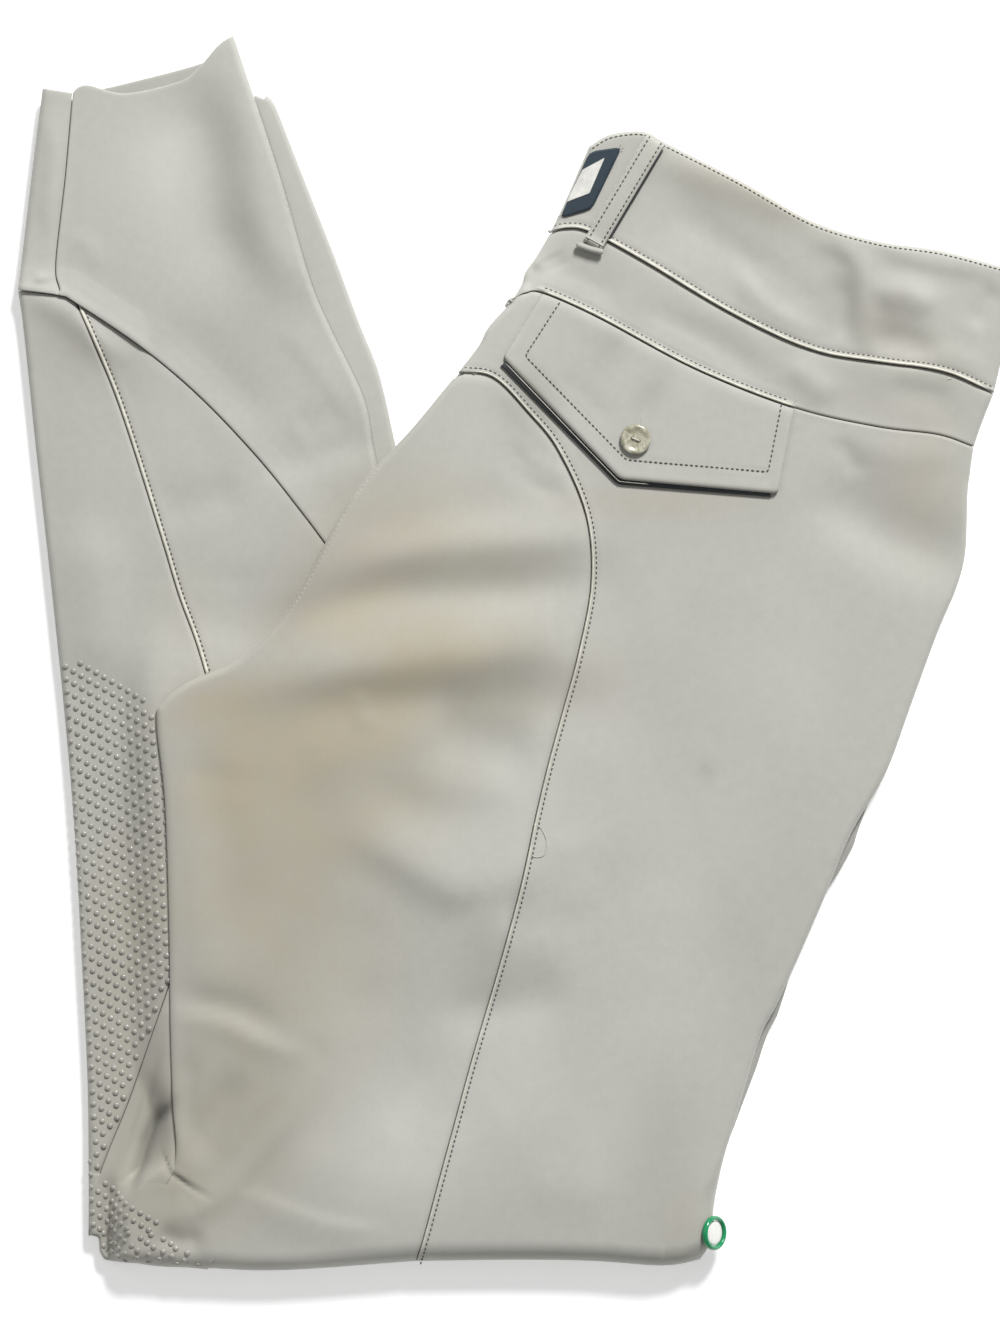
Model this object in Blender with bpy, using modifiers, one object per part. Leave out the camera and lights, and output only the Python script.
"""Riding breeches lying folded, in metres, +Z up, back of the right leg upwards.

The garment is folded in half along its centre back, so four layers of cloth lie on each other from
the waist to the knee. Both legs are then folded under at the knee and come back up on the left, so
the lower legs, four more layers, lie on the table and partly under the upper half.

Each visible piece is a wall of cloth on one common height function. All hidden layers share one
solid, which is layered at its edges. +Y points to the waist side of the folded bundle, and the origin
is at the middle of the bundle's footprint, on the table.
"""
import math

import bmesh
import bpy
import numpy as np

# Cloth
WALL = 0.0012                     # one layer of stretch cloth
SEAM_GAP = 0.0003                 # between two pieces at a seam
SEAM_END_GAPS = (3, 2)            # times that gap where a seam meets a fold, and one point further in
SEAT_SEAM_OPENING = (0.0010, 0.0009, 0.0006, 0.0003)   # extra gap where the seat seam leaves the fold
LAY_GAP = 0.0004                  # between a piece and what it lies on
LID_GAP = 0.0015                  # between the outer cloth and the hidden layers
CORNER_TRIM = 0.22                # share of a stretch cut off a sharp corner
TUCK = 0.0012                     # how far the lower leg's pieces reach under the upper half

# Heights of the bundle
LOWER_STACK = 0.0085              # the lower legs: four layers
UPPER_STACK = 0.0095              # the upper half: four more layers
DRAPE = 0.040                     # the upper half sinks to the table this far beyond the lower legs
ANKLE_BACK_HEIGHT = 0.0056        # the far side of the ankle, seen past the hem
RIGHT_CALF_ROUND = 0.0021         # half the height of the right leg's folded edge

# Folded edges
FOLD_OUT = 0.0026                 # how far in from a folded edge its rounding starts
FOLD_DOWN = 0.0028                # how far down the top layer is seen to turn
FOLD_STEEPNESS = 0.88             # 1 turns the top layer fully upright
FOLD_STOPS = (0.10, 0.42)         # shares of the rounding at which it is sampled
KNEE_OUT = 0.0085                 # where the rounding of the thick fold at the knee starts
KNEE_UNDER = (112, 136, 158)      # degrees round the knee fold, past its outermost line
KNEE_CORNER_CUT = 2               # sixtieths of the knee fold cut off the hidden layers' corners
KNEE_CORNER_DROP = 0.0045         # how far the bundle thins out at the inner end of the knee fold
KNEE_CORNER_START = (-0.138, -0.196)    # x and y from which it thins out
KNEE_CORNER_RUN = (0.034, 0.020)        # and over how far
OUTSEAM_ROUNDING = 0.0050         # how much rounder the outseam gets near the knee
OUTSEAM_ROUNDING_START, OUTSEAM_ROUNDING_RUN = -0.208, 0.022

# Trim. Outlines are corners in the plan.
FLAP_WALL = 0.0020                # pocket flap: two layers
FLAP_LIFT = 0.0012                # its lower edge stands off the seat
FLAP_SPAN = (0.0092, 0.1150)      # where it hangs from the yoke seam: x
FLAP_CORNERS = ((-0.0060, 0.1224), (0.0425, 0.0730), (0.1073, 0.0668))
LOOP_WIDTH, LOOP_WALL, LOOP_LIFT = 0.0086, 0.0016, 0.0016
LOOP_ENDS = ((0.0566, 0.2120), (0.0308, 0.1690))
LABEL_WALL = 0.0007
LABEL_CORNERS = ((0.0294, 0.2076), (0.0430, 0.2096), (0.0305, 0.1838), (0.0170, 0.1798))
FIELD_CORNERS = ((0.0283, 0.2020), (0.0357, 0.2056), (0.0294, 0.1900), (0.0213, 0.1872))
BUTTON_DIAMETER, BUTTON_HEIGHT = 0.0127, 0.0024
BUTTON_HOLE, BUTTON_HOLE_PITCH = 0.0015, 0.0033
BUTTON_PLACE, BUTTON_TURN = (0.0485, 0.0881), math.radians(-23)
BADGE_DIAMETER, BADGE_HEIGHT = 0.0145, 0.0024
BADGE_FACE_SHARE = 0.74           # of the badge's radius
BADGE_PLACE, BADGE_TILT = (0.0803, -0.2408, 0.0125), math.radians(50)

# Edges and seams. Columns: x, y. Every table runs from the waist to the knee or ankle, or from the
# centre back to the outseam.
WAIST_EDGE = ((0.0293, 0.2100), (0.0380, 0.2149), (0.0517, 0.2162), (0.0616, 0.2112), (0.0915, 0.1959),
              (0.1218, 0.1789), (0.1492, 0.1706), (0.1766, 0.1664), (0.2080, 0.1580))
WAIST_SEAM = ((0.0130, 0.1737), (0.0200, 0.1758), (0.0300, 0.1740), (0.0529, 0.1616), (0.0886, 0.1403),
              (0.1218, 0.1253), (0.1492, 0.1203), (0.1766, 0.1162), (0.1973, 0.1073))
YOKE_SEAM = ((-0.0020, 0.1487), (0.0040, 0.1498), (0.0100, 0.1494), (0.0322, 0.1394), (0.0737, 0.1174),
             (0.1147, 0.1013), (0.1492, 0.0934), (0.1740, 0.0902), (0.1890, 0.0851))
BACK_FOLD_WAISTBAND = ((0.0293, 0.2100), (0.0205, 0.1895), (0.0130, 0.1737))
BACK_FOLD_YOKE = ((0.0130, 0.1737), (0.0058, 0.1615), (-0.0020, 0.1487))
BACK_FOLD_HIP = ((-0.0020, 0.1487), (-0.0128, 0.1342), (-0.0251, 0.1158))
BACK_FOLD_SEAT = ((-0.0251, 0.1158), (-0.0320, 0.1074), (-0.0446, 0.0921), (-0.0687, 0.0652),
                  (-0.0861, 0.0336), (-0.0990, 0.0133), (-0.1164, -0.0033), (-0.1367, -0.0124),
                  (-0.1475, -0.0208), (-0.1500, -0.0290), (-0.1465, -0.0600), (-0.1448, -0.1050),
                  (-0.1442, -0.1500), (-0.1426, -0.1900), (-0.1450, -0.2120), (-0.1580, -0.2330),
                  (-0.1738, -0.2480))
SEAT_SEAM = ((-0.0251, 0.1158), (-0.0106, 0.1138), (0.0039, 0.0994), (0.0163, 0.0838), (0.0278, 0.0572),
             (0.0300, 0.0290), (0.0245, -0.0010), (0.0180, -0.0250), (0.0120, -0.0470),
             (0.0070, -0.0680), (0.0005, -0.0980), (-0.0090, -0.1330), (-0.0190, -0.1670),
             (-0.0275, -0.1980), (-0.0340, -0.2220), (-0.0385, -0.2390), (-0.0425, -0.2527))
SIDE_FOLD_WAISTBAND = ((0.2080, 0.1580), (0.2035, 0.1340), (0.1973, 0.1073))
SIDE_FOLD_YOKE = ((0.1973, 0.1073), (0.1925, 0.0955), (0.1890, 0.0851))
SIDE_FOLD_LEG = ((0.1890, 0.0851), (0.1876, 0.0750), (0.1865, 0.0652), (0.1857, 0.0419),
                 (0.1820, 0.0270), (0.1745, 0.0095), (0.1637, -0.0199), (0.1525, -0.0502),
                 (0.1380, -0.0755), (0.1268, -0.1025), (0.1143, -0.1311), (0.1070, -0.1470),
                 (0.0998, -0.1614), (0.0903, -0.1930), (0.0849, -0.2104), (0.0811, -0.2295),
                 (0.0799, -0.2440), (0.0753, -0.2523))
KNEE_FOLD_SEAT = ((-0.1738, -0.2480), (-0.1560, -0.2542), (-0.1300, -0.2556), (-0.0973, -0.2565),
                  (-0.0425, -0.2527))
KNEE_FOLD_LEG = ((-0.0425, -0.2527), (0.0000, -0.2522), (0.0309, -0.2527), (0.0600, -0.2546),
                 (0.0753, -0.2523))
SHIN_FOLD_STRIP = ((-0.1977, 0.2341), (-0.2020, 0.2000), (-0.2079, 0.1501))
SHIN_FOLD_CALF = ((-0.2079, 0.1501), (-0.2056, 0.1336), (-0.2002, 0.0818), (-0.1944, 0.0299),
                  (-0.1890, -0.0220), (-0.1845, -0.0739), (-0.1816, -0.1257), (-0.1791, -0.1776),
                  (-0.1786, -0.2200), (-0.1787, -0.2424))
HEM_STRIP = ((-0.1977, 0.2341), (-0.1857, 0.2320))
HEM_PANEL = ((-0.1845, 0.2336), (-0.1782, 0.2353), (-0.1633, 0.2320), (-0.1409, 0.2370),
             (-0.1325, 0.2430), (-0.1247, 0.2519), (-0.1185, 0.2561))
HEM_INSIDE = ((-0.1835, 0.2325), (-0.1708, 0.2345), (-0.1571, 0.2378), (-0.1409, 0.2419),
              (-0.1290, 0.2455))
STRIP_SEAM = ((-0.1851, 0.2326), (-0.1883, 0.1965), (-0.1922, 0.1613), (-0.1903, 0.1498))
CALF_FOLD_LEFT = ((-0.1185, 0.2561), (-0.1147, 0.2448), (-0.0994, 0.1984), (-0.0869, 0.1556),
                  (-0.0782, 0.1349), (-0.0645, 0.1062), (-0.0604, 0.0859), (-0.0582, 0.0745))
CALF_FOLD_RIGHT = ((-0.1040, 0.2308), (-0.1008, 0.2265), (-0.0948, 0.2112), (-0.0857, 0.1880),
                   (-0.0762, 0.1639), (-0.0662, 0.1369), (-0.0579, 0.1158), (-0.0513, 0.0870))
ANKLE_SEAM = ((-0.2079, 0.1501), (-0.1905, 0.1478), (-0.1836, 0.1446), (-0.1556, 0.1257),
              (-0.1318, 0.1055), (-0.1081, 0.0805), (-0.0900, 0.0580), (-0.0795, 0.0440))
CALF_SEAM = ((-0.1836, 0.1446), (-0.1735, 0.1216), (-0.1640, 0.0967), (-0.1485, 0.0477),
             (-0.1413, 0.0239), (-0.1343, 0.0050), (-0.1290, -0.0120))
GRIP_SEAM = ((-0.1440, -0.1360), (-0.1529, -0.1610), (-0.1625, -0.1880), (-0.1740, -0.2170),
             (-0.1770, -0.2350))
LOWER_LEG_END = ((-0.1786, -0.2310), (-0.1500, -0.2390), (-0.0600, -0.2380), (0.0600, -0.2380))
HIDDEN_CALF_EDGE = ((-0.0513, 0.0870), (-0.0320, 0.0000), (-0.0060, -0.0830), (0.0230, -0.1640),
                    (0.0450, -0.2120), (0.0600, -0.2380))

# How far the under layers reach out beyond the top one at the outseam. Columns: y, reach.
UNDER_REACH = ((-0.2100, 0.0), (-0.1900, 0.0012), (-0.1700, 0.0033), (-0.1500, 0.0035), (-0.1300, 0.0005),
               (-0.1020, 0.0), (-0.0900, 0.0025), (-0.0790, 0.0037), (-0.0600, 0.0))

# The hidden layers' edges, from the table up. Columns: share of the height up to where the top layer
# turns in, inset at a side, inset at the ankle hems.
LAYER_EDGES = ((0.00, 0.0030, 0.0030), (0.16, 0.0005, 0.0015), (0.33, 0.0018, 0.0024),
               (0.50, 0.0004, 0.0014), (0.66, 0.0018, 0.0090), (0.83, 0.0006, 0.0090),
               (1.00, 0.0022, 0.0090))

CLOTH = (0.53, 0.52, 0.47, 1)
CLOTH_SHADE = (0.47, 0.46, 0.42, 1)
NAVY = (0.018, 0.035, 0.060, 1)
WHITE = (0.75, 0.74, 0.68, 1)
PEARL = (0.62, 0.60, 0.48, 1)
GREEN = (0.0, 0.26, 0.09, 1)


# ---------------------------------------------------------------- lines in the plan
def through(table, steps=2, smooth=True):
    """Points along a curve through the rows of a table, with `steps` to each interval."""
    rows = np.array(table, float)
    if not smooth:
        ends = [rows[:-1] + (rows[1:] - rows[:-1]) * k / steps for k in range(steps)]
        return np.vstack([np.stack(ends, 1).reshape(-1, 2), rows[-1:]])
    padded = np.vstack([2 * rows[0] - rows[1], rows, 2 * rows[-1] - rows[-2]])
    points = []
    for a, b, c, d in zip(padded, padded[1:], padded[2:], padded[3:]):
        for k in range(steps):
            t = k / steps
            points.append(0.5 * (2 * b + (c - a) * t + (2 * a - 5 * b + 4 * c - d) * t * t
                                 + (3 * b - a - 3 * c + d) * t ** 3))
    return np.array(points + [rows[-1]])


def evenly(line, count):
    """The line with `count` equal stretches."""
    run = np.concatenate([[0], np.cumsum(np.linalg.norm(np.diff(line, axis=0), axis=1))])
    at = np.linspace(0, run[-1], count + 1)
    return np.stack([np.interp(at, run, line[:, 0]), np.interp(at, run, line[:, 1])], 1)


def joined(*lines):
    """Lines that meet end to end, as one."""
    return np.vstack([line[:-1] for line in lines[:-1]] + [lines[-1]])


def sideways(line, distance):
    """The line moved to its left (seen along it), or to its right if distance is negative."""
    along = np.gradient(line, axis=0)
    along /= np.linalg.norm(along, axis=1, keepdims=True)
    return line + np.stack([-along[:, 1], along[:, 0]], 1) * np.reshape(distance, (-1, 1))


def seam_side(line, side):
    """One side of a seam: half the gap from its line, and a little more where the seam meets a fold."""
    gap = np.full(len(line), SEAM_GAP / 2)
    gap[[0, 1, -1, -2]] *= SEAM_END_GAPS * 2
    return sideways(line, side * gap)


def distance_to(line, points):
    """How far each point is from a line."""
    a, b = line[:-1], line[1:]
    ab = b - a
    t = ((points[:, None] - a) * ab).sum(-1) / (ab ** 2).sum(-1)
    foot = a + np.clip(t, 0, 1)[..., None] * ab
    return np.linalg.norm(points[:, None] - foot, axis=-1).min(1)


def ramp(value):
    """0 to 1 with flat ends."""
    t = np.clip(value, 0, 1)
    return t * t * (3 - 2 * t)


def patch(top, right, bottom, left):
    """A grid of points between four edges. Its rows run from top to bottom."""
    left, right = np.array(left), np.array(right)
    left[0], right[0], left[-1], right[-1] = top[0], top[-1], bottom[0], bottom[-1]
    v = np.linspace(0, 1, len(left))[:, None, None]
    u = np.linspace(0, 1, len(top))[None, :, None]
    ruled = (1 - v) * top[None] + v * bottom[None] + (1 - u) * left[:, None] + u * right[:, None]
    return ruled - (1 - v) * ((1 - u) * top[0] + u * top[-1]) - v * ((1 - u) * bottom[0] + u * bottom[-1])


def panel(corners, rows, columns):
    """A four-cornered grid. Its corners run clockwise from the top left."""
    a, b, c, d = np.array(corners)
    return patch(evenly(np.array([a, b]), columns), evenly(np.array([b, c]), rows),
                 evenly(np.array([d, c]), columns), evenly(np.array([a, d]), rows))


def with_fold(grid, side, reach):
    """Adds the lines that a folded edge needs next to the grid's left, right, top or bottom edge."""
    turned = {"left": grid, "right": grid[:, ::-1], "top": grid.swapaxes(0, 1),
              "bottom": grid[::-1].swapaxes(0, 1)}[side]
    first, second = turned[:, 0], turned[:, 1]
    width = np.linalg.norm(second - first, axis=1)[:, None]
    lines = [first + (second - first) * np.minimum(stop * reach / np.maximum(width, 1e-9), 0.8 * stop)
             for stop in FOLD_STOPS]
    turned = np.concatenate([turned[:, :1]] + [line[:, None] for line in lines] + [turned[:, 1:]], 1)
    return {"left": turned, "right": turned[:, ::-1], "top": turned.swapaxes(0, 1),
            "bottom": turned.swapaxes(0, 1)[::-1]}[side]


# ---------------------------------------------------------------- the bundle's edges and height
waist_edge = through(WAIST_EDGE, 1)
back_fold_seat = through(BACK_FOLD_SEAT)
back_fold = joined(through(BACK_FOLD_WAISTBAND), through(BACK_FOLD_YOKE), through(BACK_FOLD_HIP, 1),
                   back_fold_seat)
side_fold = joined(through(SIDE_FOLD_WAISTBAND), through(SIDE_FOLD_YOKE), through(SIDE_FOLD_LEG))
knee_fold = joined(through(KNEE_FOLD_SEAT), through(KNEE_FOLD_LEG))
seat_seam = through(SEAT_SEAM)
yoke_seam = through(YOKE_SEAM, 1)
waist_seam = through(WAIST_SEAM, 1)
shin_fold = joined(through(SHIN_FOLD_STRIP), through(SHIN_FOLD_CALF))
calf_fold_left = through(CALF_FOLD_LEFT)
calf_fold_right = through(CALF_FOLD_RIGHT)
lower_leg_edge = joined(calf_fold_right, through(HIDDEN_CALF_EDGE, 4))


def beside_lower_legs(points):
    """How far each point is outside the lower legs' right-hand edge, 0 if it is over them."""
    edge_x = np.interp(-points[:, 1], -lower_leg_edge[:, 1], lower_leg_edge[:, 0])
    return np.where(points[:, 0] > edge_x, distance_to(lower_leg_edge, points), 0)


def base(points):
    """The height that the upper half lies on."""
    return LOWER_STACK * (1 - ramp(beside_lower_legs(points) / DRAPE))


def turned_down(distance, reach, depth, steepness=FOLD_STEEPNESS):
    """How far a rounded edge is below its top, at a distance in from the edge. 1 ends upright."""
    t = steepness * (1 - np.clip(distance / reach, 0, 1))
    return depth * (1 - np.sqrt(1 - t * t))


def knee_rounding(points):
    """How much rounder the outseam fold is near the knee."""
    below = OUTSEAM_ROUNDING_START - points[:, 1]
    return OUTSEAM_ROUNDING * ramp(below / OUTSEAM_ROUNDING_RUN) * (points[:, 0] > 0)


def upper_stack(points):
    """The top of the upper half, without its rounded edges."""
    to_corner = ramp((np.array(KNEE_CORNER_START) - points) / KNEE_CORNER_RUN)
    return base(points) + UPPER_STACK - KNEE_CORNER_DROP * to_corner.prod(1)


def upper_height(points):
    """The top of the upper half."""
    top = upper_stack(points)
    growth = knee_rounding(points)
    drops = [turned_down(distance_to(edge, points), FOLD_OUT + growth, FOLD_DOWN + growth)
             for edge in (back_fold, side_fold, waist_edge)]
    top -= np.max(drops, axis=0)
    return top - turned_down(distance_to(knee_fold, points), KNEE_OUT, top / 2, 1)


def lower_stack(points):
    """The top of the lower legs, without its rounded edges."""
    return np.full(len(points), LOWER_STACK)


def lower_height(points):
    """The top of the lower legs."""
    top = lower_stack(points)
    for edge in (shin_fold, calf_fold_left):
        top -= turned_down(distance_to(edge, points), FOLD_OUT, FOLD_DOWN)
    return top


def raised(grid, height, lift=0.0):
    """The grid on the surface that height gives, moved out along the surface's normals by lift."""
    flat = grid.reshape(-1, 2)
    z = height(flat)
    points = np.column_stack([flat, z])
    if np.any(lift):
        step = 0.0002
        slope_x = (height(flat + (step, 0)) - height(flat - (step, 0))) / (2 * step)
        slope_y = (height(flat + (0, step)) - height(flat - (0, step))) / (2 * step)
        normal = np.column_stack([-slope_x, -slope_y, np.ones(len(flat))])
        points += normal / np.linalg.norm(normal, axis=1, keepdims=True) * np.reshape(lift, (-1, 1))
    return points.reshape(grid.shape[0], grid.shape[1], 3)


# ---------------------------------------------------------------- objects
def material(name, colour, roughness):
    made = bpy.data.materials.new(name)
    made.use_nodes = True
    shader = made.node_tree.nodes["Principled BSDF"]
    shader.inputs["Base Color"].default_value = colour
    shader.inputs["Roughness"].default_value = roughness
    return made


def new_object(name, mesh, colour, roughness, where=None):
    made = bpy.data.objects.new(name, mesh)
    (where or breeches).objects.link(made)
    mesh.materials.append(material(name, colour, roughness))
    return made


def grid_mesh(name, points):
    """A mesh of quads over a grid of points, facing up where its rows run towards -Y."""
    rows, columns = points.shape[:2]
    mesh = bpy.data.meshes.new(name)
    index = np.arange(rows * columns).reshape(rows, columns)
    quads = np.stack([index[:-1, :-1], index[1:, :-1], index[1:, 1:], index[:-1, 1:]], -1).reshape(-1, 4)
    mesh.from_pydata(points.reshape(-1, 3).tolist(), [], quads.tolist())
    return mesh


def cloth(name, points, colour=CLOTH, wall=WALL, roughness=0.85):
    """A wall of cloth below a grid of points."""
    made = new_object(name, grid_mesh(name, points), colour, roughness)
    solid = made.modifiers.new("Wall", "SOLIDIFY")
    solid.thickness = wall
    solid.offset = -1
    return made


def under_knee(points):
    """The rows that carry a piece on round the knee fold, under the bundle."""
    last = points[-1]
    along = np.gradient(last[:, :2], axis=0)
    along /= np.linalg.norm(along, axis=1, keepdims=True)
    inward = np.stack([-along[:, 1], along[:, 0]], 1)
    rows = []
    for degrees in KNEE_UNDER:
        angle = math.radians(degrees)
        flat = last[:, :2] + inward * KNEE_OUT * (1 - math.sin(angle))
        rows.append(np.column_stack([flat, last[:, 2] * (1 + math.cos(angle))]))
    return np.concatenate([points, np.array(rows)])


def rim_of(grid):
    """The grid's outer points, anticlockwise from its first one, down its left side."""
    return np.concatenate([grid[:-1, 0], grid[-1, :-1], grid[:0:-1, -1], grid[0, :0:-1]])


def lid_over(ring, rows, columns):
    """The grid of points whose rim is the ring."""
    left = ring[:rows]
    bottom = ring[rows - 1:rows + columns - 1]
    right = ring[rows + columns - 2:2 * rows + columns - 2][::-1]
    top = np.concatenate([ring[2 * rows + columns - 3:], ring[:1]])[::-1]
    return patch(top, right, bottom, left)


def edge_rings(rim, low, top, round_end, hem_end, spare):
    """Rings of points round a stack of hidden layers, from the table up: x, y, z."""
    along = np.roll(rim, -1, 0) - np.roll(rim, 1, 0)
    along /= np.linalg.norm(along, axis=1, keepdims=True)
    inward = np.stack([-along[:, 1], along[:, 0]], 1)
    growth = knee_rounding(rim)
    high = top - FOLD_DOWN - LAY_GAP - growth
    lid = top - WALL - LID_GAP
    lines = [(np.zeros(len(rim)), 0.0036, 0.0036)]
    for share, inset, hem_inset in LAYER_EDGES:
        under = spare if share < 0.6 else 0
        lines.append((low + LAY_GAP + (high - low - LAY_GAP) * share, inset - under + growth * share / 3,
                      hem_inset))
    lines.append((lid - LAY_GAP - growth / 3, 0.0026 + growth * 0.6, 0.0094))
    lines.append((lid, 0.0040 + growth, 0.0102))
    rings = []
    for number, (z, inset, hem_inset) in enumerate(lines):
        angle = math.pi * (0.10 + 0.86 * number / (len(lines) - 1))
        round_inset = KNEE_OUT + 0.0018 - (KNEE_OUT - 0.0006) * math.sin(angle)
        lip = WALL + LID_GAP
        round_z = (lip + (lid - lip) * (1 - math.cos(angle)) / 2) * (number > 0)
        flat = rim + inward * np.where(round_end, round_inset, np.where(hem_end, hem_inset, inset))[:, None]
        rings.append(np.column_stack([flat, np.where(round_end, round_z, z)]))
    return rings


def layered_solid(name, grid, height, low, ends):
    """One closed solid for a stack of hidden layers: layered sides, a flat underside."""
    rows, columns = grid.shape[:2]
    rim = rim_of(grid)
    at = np.arange(len(rim))
    round_end = (at >= rows - 1) & (at < rows + columns - 1) & (ends == "knee")
    hem_end = ((at > 2 * rows + columns - 4) | (at == 0)) & (ends == "hem")
    outseam = (at >= rows + columns - 1) & (at <= 2 * rows + columns - 3) & (ends == "knee")
    spare = np.interp(rim[:, 1], *np.array(UNDER_REACH).T) * outseam
    rings = edge_rings(rim, low(rim), height(rim), round_end, hem_end, spare)
    lid = lid_over(rings[-1][:, :2], rows, columns)
    lid_z = height(lid.reshape(-1, 2)).reshape(rows, columns) - WALL - LID_GAP
    lid_z[0], lid_z[-1], lid_z[:, 0], lid_z[:, -1] = (
        edge[..., 0] for edge in lid_edges(lid_over(rings[-1][:, 2:], rows, columns)))
    work = bmesh.new()
    loops = [[work.verts.new(p) for p in ring] for ring in rings]
    for lower, upper in zip(loops, loops[1:]):
        for k, (a, b) in enumerate(zip(lower, upper)):
            work.faces.new((a, lower[(k + 1) % len(lower)], upper[(k + 1) % len(upper)], b))
    work.faces.new(loops[0][::-1])
    net = [[work.verts.new((x, y, z)) for (x, y), z in zip(*line)] for line in zip(lid, lid_z)]
    for first, second in zip(net, net[1:]):
        for a, b, c, d in zip(first, second, second[1:], first[1:]):
            work.faces.new((a, b, c, d))
    bmesh.ops.remove_doubles(work, verts=work.verts, dist=0.00001)
    mesh = bpy.data.meshes.new(name)
    work.to_mesh(mesh)
    work.free()
    return mesh


def lid_edges(grid):
    """The first and last row and the first and last column of a grid."""
    return grid[0], grid[-1], grid[:, 0], grid[:, -1]


# ---------------------------------------------------------------- hidden layers
def build_hidden_layers():
    """All the layers that do not show: one solid, layered at its edges and flat where it rests."""
    knee = evenly(evenly(knee_fold, 60)[KNEE_CORNER_CUT:-KNEE_CORNER_CUT], 14)
    upper = patch(evenly(waist_edge, 14), side_fold, knee, back_fold)
    made = new_object("hidden_layers", layered_solid("hidden_layers", upper, upper_stack, base, "knee"),
                      CLOTH_SHADE, 0.9)
    left = evenly(shin_fold[shin_fold[:, 1] > LOWER_LEG_END[0][1]], 26)
    right = evenly(joined(calf_fold_left, through(HIDDEN_CALF_EDGE, 3)[1:]), 26)
    lower = patch(evenly(np.array([left[0], (-0.150, 0.2335), right[0]]), 8), right,
                  evenly(through(LOWER_LEG_END), 8), left)
    legs = bpy.data.objects.new("lower_leg_layers", layered_solid(
        "lower_leg_layers", lower, lower_stack, lambda points: np.zeros(len(points)), "hem"))
    cutters.objects.link(legs)
    legs.hide_render = True
    legs.display_type = "WIRE"
    union = made.modifiers.new("Lower legs", "BOOLEAN")
    union.operation = "UNION"
    union.object = legs
    union.solver = "EXACT"


# ---------------------------------------------------------------- upper half
def build_waistband():
    grid = patch(waist_edge, through(SIDE_FOLD_WAISTBAND), seam_side(waist_seam, 1),
                 through(BACK_FOLD_WAISTBAND))
    for side in ("left", "right", "top"):
        grid = with_fold(grid, side, FOLD_OUT)
    cloth("waistband_back_right", raised(grid, upper_height))


def build_yoke():
    grid = patch(seam_side(waist_seam, -1), through(SIDE_FOLD_YOKE), seam_side(yoke_seam, 1),
                 through(BACK_FOLD_YOKE))
    for side in ("left", "right"):
        grid = with_fold(grid, side, FOLD_OUT)
    cloth("yoke_right", raised(grid, upper_height))


def build_leg_panels():
    """The seat and inner-leg panel, and the outer back panel beyond the curved seat seam."""
    left, right = back_fold_seat.copy(), seam_side(seat_seam, -1)
    left[0] += (left[1] - left[0]) * 2 * CORNER_TRIM
    right[0] += (right[1] - right[0]) * 3 * CORNER_TRIM
    right[:len(SEAT_SEAM_OPENING), 1] -= SEAT_SEAM_OPENING
    inner = patch(evenly(np.array([left[0], right[0]]), 8), right, through(KNEE_FOLD_SEAT), left)
    inner = with_fold(with_fold(inner, "left", FOLD_OUT), "bottom", KNEE_OUT)
    cloth("seat_panel_right", under_knee(raised(inner, upper_height)))
    outer = patch(seam_side(yoke_seam, -1), through(SIDE_FOLD_LEG), through(KNEE_FOLD_LEG),
                  joined(through(BACK_FOLD_HIP, 1), seam_side(seat_seam, 1)))
    for side, reach in (("left", FOLD_OUT), ("right", FOLD_OUT), ("bottom", KNEE_OUT)):
        outer = with_fold(outer, side, reach)
    cloth("outer_back_panel_right", under_knee(raised(outer, upper_height)))


# ---------------------------------------------------------------- lower legs
def tucked(start_y, end_y, count):
    """Points just under the upper half's left-hand edge, between two heights in the plan."""
    run = evenly(back_fold_seat, 400)
    first, last = (np.abs(run[:, 1] - y).argmin() for y in (start_y, end_y))
    step = 1 if last > first else -1
    return evenly(sideways(run, TUCK)[first:last + step:step], count)


def build_ankle():
    """The ankle's main panel, its narrow strip, and the far side of the ankle seen past its hem."""
    seam = through(ANKLE_SEAM)
    strip = patch(evenly(through(HEM_STRIP), 3), sideways(evenly(through(STRIP_SEAM), 10), -SEAM_GAP / 2),
                  sideways(evenly(seam[:3], 3), SEAM_GAP / 2), evenly(through(SHIN_FOLD_STRIP), 10))
    cloth("ankle_strip_left", raised(with_fold(strip, "left", FOLD_OUT), lower_height))
    end = tucked(0.0440, 0.0700, 3)
    bottom = joined(sideways(seam[2:], SEAM_GAP / 2), end)
    panel = patch(evenly(through(HEM_PANEL), len(bottom) - 1), evenly(calf_fold_left, 10), bottom,
                  sideways(evenly(through(STRIP_SEAM), 10), SEAM_GAP / 2))
    cloth("ankle_panel_left", raised(with_fold(panel, "right", FOLD_OUT), lower_height))
    hem = evenly(through(HEM_INSIDE), 8)
    lining = patch(hem, hem[-1] + np.array([[0, 0], [0, -1], [0, -2]]) * 0.003,
                   hem - (0, 0.006), hem[0] + np.array([[0, 0], [0, -1], [0, -2]]) * 0.003)
    cloth("ankle_back_left", raised(lining, lambda points: np.full(len(points), ANKLE_BACK_HEIGHT)))


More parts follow.
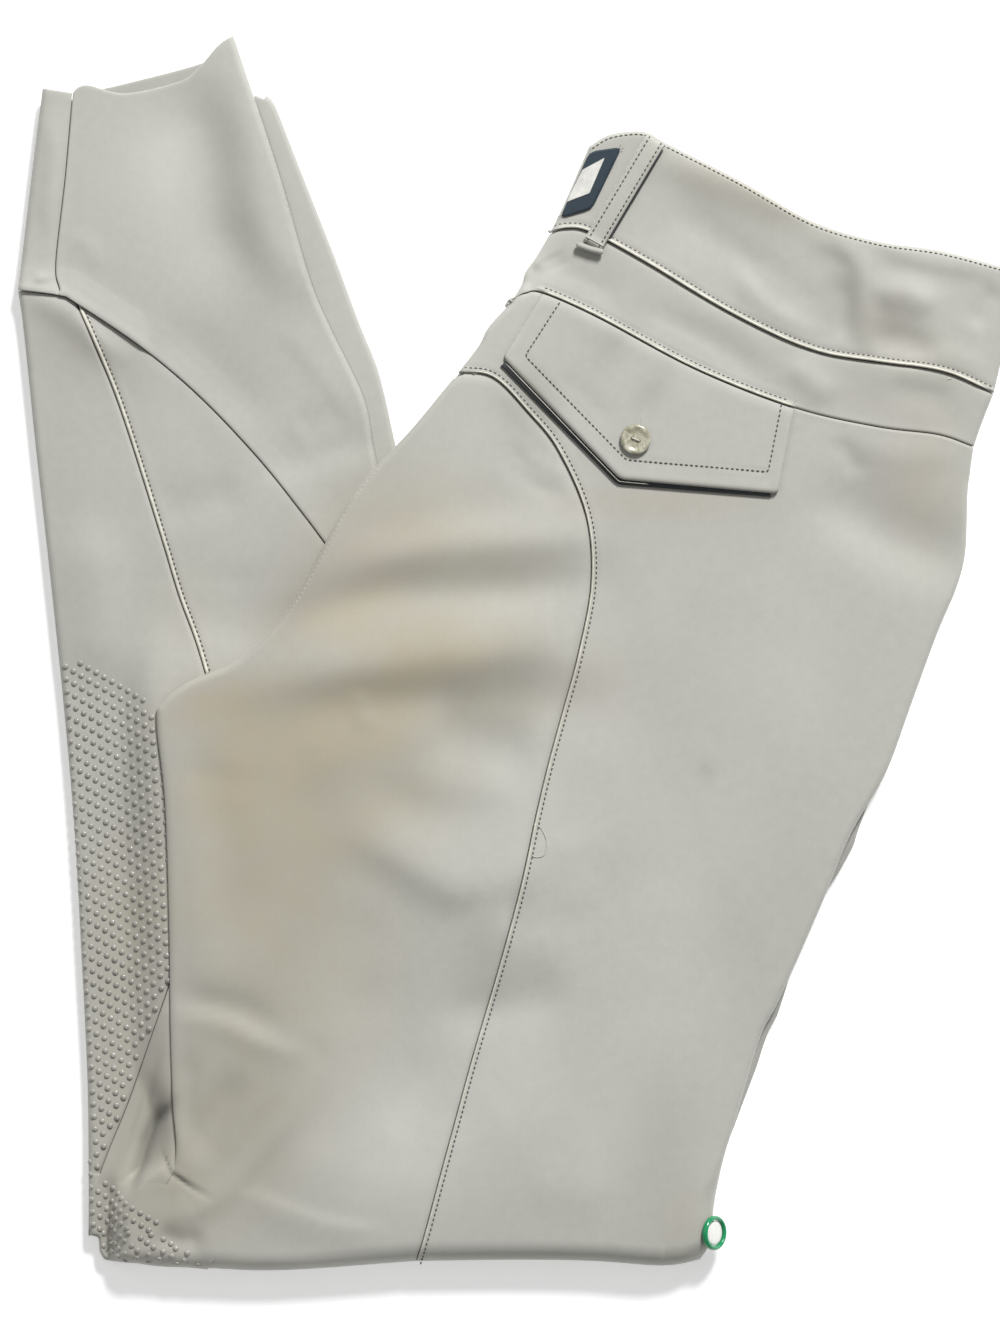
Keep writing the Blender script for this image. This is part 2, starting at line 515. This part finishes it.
def build_calf():
    """The calf panel, the inner panel that carries the knee grip, and the plain panel beside it."""
    seam = through(ANKLE_SEAM)
    calf_seam = evenly(through(CALF_SEAM), 8)
    below = sideways(seam, -SEAM_GAP / 2)
    upper_side = evenly(below[4:], 8)
    seam_edge = sideways(calf_seam, SEAM_GAP / 2)
    seam_edge[0] += (seam_edge[1] - seam_edge[0]) * CORNER_TRIM
    upper_side[0] += (upper_side[1] - upper_side[0]) * CORNER_TRIM
    calf = patch(evenly(np.array([seam_edge[0], upper_side[0]]), 5), upper_side,
                 evenly(tucked(-0.0118, 0.0430, 6), 5), seam_edge)
    cloth("calf_panel_left", raised(calf, lower_height))
    grip_seam = evenly(through(GRIP_SEAM), 7)
    side = joined(sideways(calf_seam, -SEAM_GAP / 2), tucked(-0.0125, -0.1350, 8),
                  sideways(grip_seam, -SEAM_GAP / 2))
    left = evenly(through(SHIN_FOLD_CALF), len(side) - 1)
    inner = patch(evenly(below[:5], 6), side, evenly(np.array([left[-1], side[-1]]), 6), left)
    cloth("inner_calf_panel_left", raised(with_fold(inner, "left", FOLD_OUT), lower_height))
    seam_edge = sideways(grip_seam, SEAM_GAP / 2)
    edge = tucked(-0.1390, -0.2370, 7)
    beside = patch(evenly(np.array([seam_edge[0], edge[0]]), 3), edge,
                   evenly(np.array([seam_edge[-1], edge[-1]]), 3), seam_edge)
    cloth("knee_side_panel_left", raised(beside, lower_height))


def build_right_calf():
    """The right leg's folded edge, which shows beyond the left leg's."""
    outer = evenly(calf_fold_right, 12)
    inner_x = np.interp(-outer[:, 1], -calf_fold_left[:, 1], calf_fold_left[:, 0]) + SEAM_GAP
    inner = np.column_stack([inner_x, outer[:, 1]])
    columns = [np.column_stack([inner, np.full(len(outer), 2 * RIGHT_CALF_ROUND)])]
    for degrees in range(0, 181, 30):
        angle = math.radians(degrees)
        flat = sideways(outer, -RIGHT_CALF_ROUND * (1 - math.sin(angle)))
        columns.append(np.column_stack([flat, np.full(len(outer), RIGHT_CALF_ROUND * (1 + math.cos(angle)))]))
    columns.append(np.column_stack([inner, np.zeros(len(outer))]))
    cloth("calf_fold_right", np.stack(columns, 1), CLOTH_SHADE)


# ---------------------------------------------------------------- trim
def on_panel(x, y, lift):
    """A point over the upper half."""
    return tuple(raised(np.array([[(x, y)]]), upper_height, lift)[0, 0])


def build_pocket_flap():
    hang = sideways(yoke_seam, -2 * LAY_GAP)
    hang = evenly(hang[(hang[:, 0] > FLAP_SPAN[0]) & (hang[:, 0] < FLAP_SPAN[1])], 10)
    left, point, right = np.array(FLAP_CORNERS)
    foot = joined(evenly(np.array([left, point]), 5), evenly(np.array([point, right]), 5))
    flap = patch(hang, evenly(np.array([hang[-1], right]), 6), foot, evenly(np.array([hang[0], left]), 6))
    share = np.repeat(np.linspace(0, 1, len(flap)), len(foot))
    lift = LAY_GAP + FLAP_WALL + FLAP_LIFT * share ** 2
    cloth("pocket_flap_right", raised(flap, upper_height, lift), wall=FLAP_WALL)


def build_belt_loop():
    middle = evenly(np.array(LOOP_ENDS), 9)
    grid = np.stack([sideways(middle, offset) for offset in (-LOOP_WIDTH / 2, 0, LOOP_WIDTH / 2)], 1)
    share = np.repeat(np.linspace(0, 1, len(middle)), grid.shape[1])
    lift = LAY_GAP + LOOP_WALL + LOOP_LIFT * np.sin(np.pi * share) ** 0.5
    cloth("belt_loop_back", raised(grid, upper_height, lift), wall=LOOP_WALL)


def build_label():
    """The woven patch at the centre back, which folds over the edge with the waistband."""
    whole = raised(panel(LABEL_CORNERS, 6, 5), upper_height, LAY_GAP + LABEL_WALL)
    cloth("back_label", whole, NAVY, LABEL_WALL, 0.6)
    field = raised(panel(FIELD_CORNERS, 5, 4), upper_height, 2 * (LAY_GAP + LABEL_WALL))
    cloth("back_label_field", field, WHITE, LABEL_WALL, 0.6)


def turned(name, profile, segments, colour, roughness, is_ring=False):
    """A solid of revolution about +Z from a profile of (radius, height), down its outer side."""
    mesh = bpy.data.meshes.new(name)
    links = [(k, k + 1) for k in range(len(profile) - 1)] + [(len(profile) - 1, 0)] * is_ring
    mesh.from_pydata([(r, 0, z) for r, z in profile], links, [])
    made = new_object(name, mesh, colour, roughness)
    spin = made.modifiers.new("Turn", "SCREW")
    spin.axis = "Z"
    spin.steps = spin.render_steps = segments
    spin.use_merge_vertices = True
    spin.merge_threshold = 0.00001
    return made


def build_button():
    r, h = BUTTON_DIAMETER / 2, BUTTON_HEIGHT
    button = turned("pocket_button", ((0, h * 0.72), (r * 0.60, h * 0.72), (r * 0.74, h), (r * 0.90, h),
                                      (r, h * 0.62), (r, h * 0.30), (r * 0.80, 0), (0, 0)), 24, PEARL, 0.15)
    button.location = on_panel(*BUTTON_PLACE, 2 * LAY_GAP + FLAP_WALL + FLAP_LIFT)
    button.rotation_euler = (0, 0, BUTTON_TURN)
    for side in (-1, 1):
        bpy.ops.mesh.primitive_cylinder_add(vertices=12, radius=BUTTON_HOLE / 2, depth=3 * h)
        hole = bpy.context.object
        hole.name = f"button_hole_{'left' if side < 0 else 'right'}"
        hole.parent = button
        hole.location = (side * BUTTON_HOLE_PITCH, 0, h / 2)
        for where in hole.users_collection:
            where.objects.unlink(hole)
        cutters.objects.link(hole)
        hole.hide_render = True
        hole.display_type = "WIRE"
        cut = button.modifiers.new("Hole", "BOOLEAN")
        cut.object = hole
        cut.solver = "EXACT"


def build_badge():
    """The plain round badge on the outer side of the knee: a moulded rim round a pale face."""
    r, h = BADGE_DIAMETER / 2, BADGE_HEIGHT
    bore = r * BADGE_FACE_SHARE
    rim = turned("knee_badge_rim", ((bore, h * 0.55), (r * 0.76, h * 0.9), (r * 0.86, h), (r * 0.96, h * 0.8),
                                    (r, h * 0.45), (r * 0.96, 0), (bore, 0)), 24, GREEN, 0.25, True)
    inner = r * BADGE_FACE_SHARE - SEAM_GAP
    face = turned("knee_badge_face", ((0, h * 0.62), (inner, h * 0.62), (inner, 0), (0, 0)), 24, WHITE, 0.35)
    for piece in (rim, face):
        piece.location = BADGE_PLACE
        piece.rotation_euler = (0, BADGE_TILT, 0)


for old in list(bpy.data.objects):
    bpy.data.objects.remove(old, do_unlink=True)
breeches = bpy.data.collections.new("Riding breeches")
cutters = bpy.data.collections.new("Cutters")
bpy.context.scene.collection.children.link(breeches)
bpy.context.scene.collection.children.link(cutters)

build_hidden_layers()
build_waistband()
build_yoke()
build_leg_panels()
build_ankle()
build_calf()
build_right_calf()
build_pocket_flap()
build_belt_loop()
build_label()
build_button()
build_badge()
